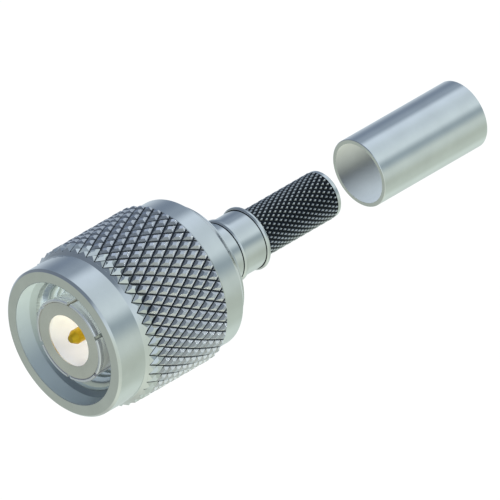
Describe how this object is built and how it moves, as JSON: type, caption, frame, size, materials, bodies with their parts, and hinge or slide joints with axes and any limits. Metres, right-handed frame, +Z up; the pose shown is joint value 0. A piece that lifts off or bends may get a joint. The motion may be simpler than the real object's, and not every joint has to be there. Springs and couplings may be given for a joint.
{
  "type": "coaxial cable plug",
  "caption": "Crimp-on coaxial cable plug with a diamond-knurled threaded coupling nut, slotted contact sleeve, gold pin and loose crimp ferrule.",
  "frame": {"origin": "centre of the coupling nut's mouth plane, on the plug's axis", "axes": "+X along the plug's axis from the mouth towards the cable end, +Z up"},
  "size_m": [0.0506, 0.0156, 0.0156],
  "materials": {
    "nickel_plated_nut": "bright nickel plate over turned brass",
    "nickel_plated_shell": "bright nickel plate over turned brass",
    "nickel_plated_body": "bright nickel plate over turned brass",
    "nickel_plated_ferrule": "bright nickel plate over a thin copper-alloy tube",
    "spring_bronze": "nickel-plated spring copper alloy",
    "spring_steel": "bright spring wire",
    "silicone": "matt silicone",
    "white_insulator": "smooth white fluoropolymer",
    "gold_plating": "gold plate over turned brass"
  },
  "bodies": {
    "plug": {"front_shell": "nickel_plated_shell", "contact_sleeve": "spring_bronze", "retaining_ring": "spring_steel", "gasket": "silicone", "front_insulator": "white_insulator", "rear_insulator": "white_insulator", "centre_contact": "gold_plating", "crimp_body": "nickel_plated_body"},
    "nut": {"coupling_nut": "nickel_plated_nut"},
    "ferrule": {"crimp_ferrule": "nickel_plated_ferrule"}
  },
  "joints": [
    {"name": "nut_spin", "type": "hinge", "parent": "plug", "child": "nut", "pos_m": [0.013, 0, 0], "axis": [1, 0, 0], "continuous": true},
    {"name": "ferrule_slide", "type": "slide", "parent": "plug", "child": "ferrule", "axis": [1, 0, 0], "range_m": [-0.01416, 0]}
  ]
}
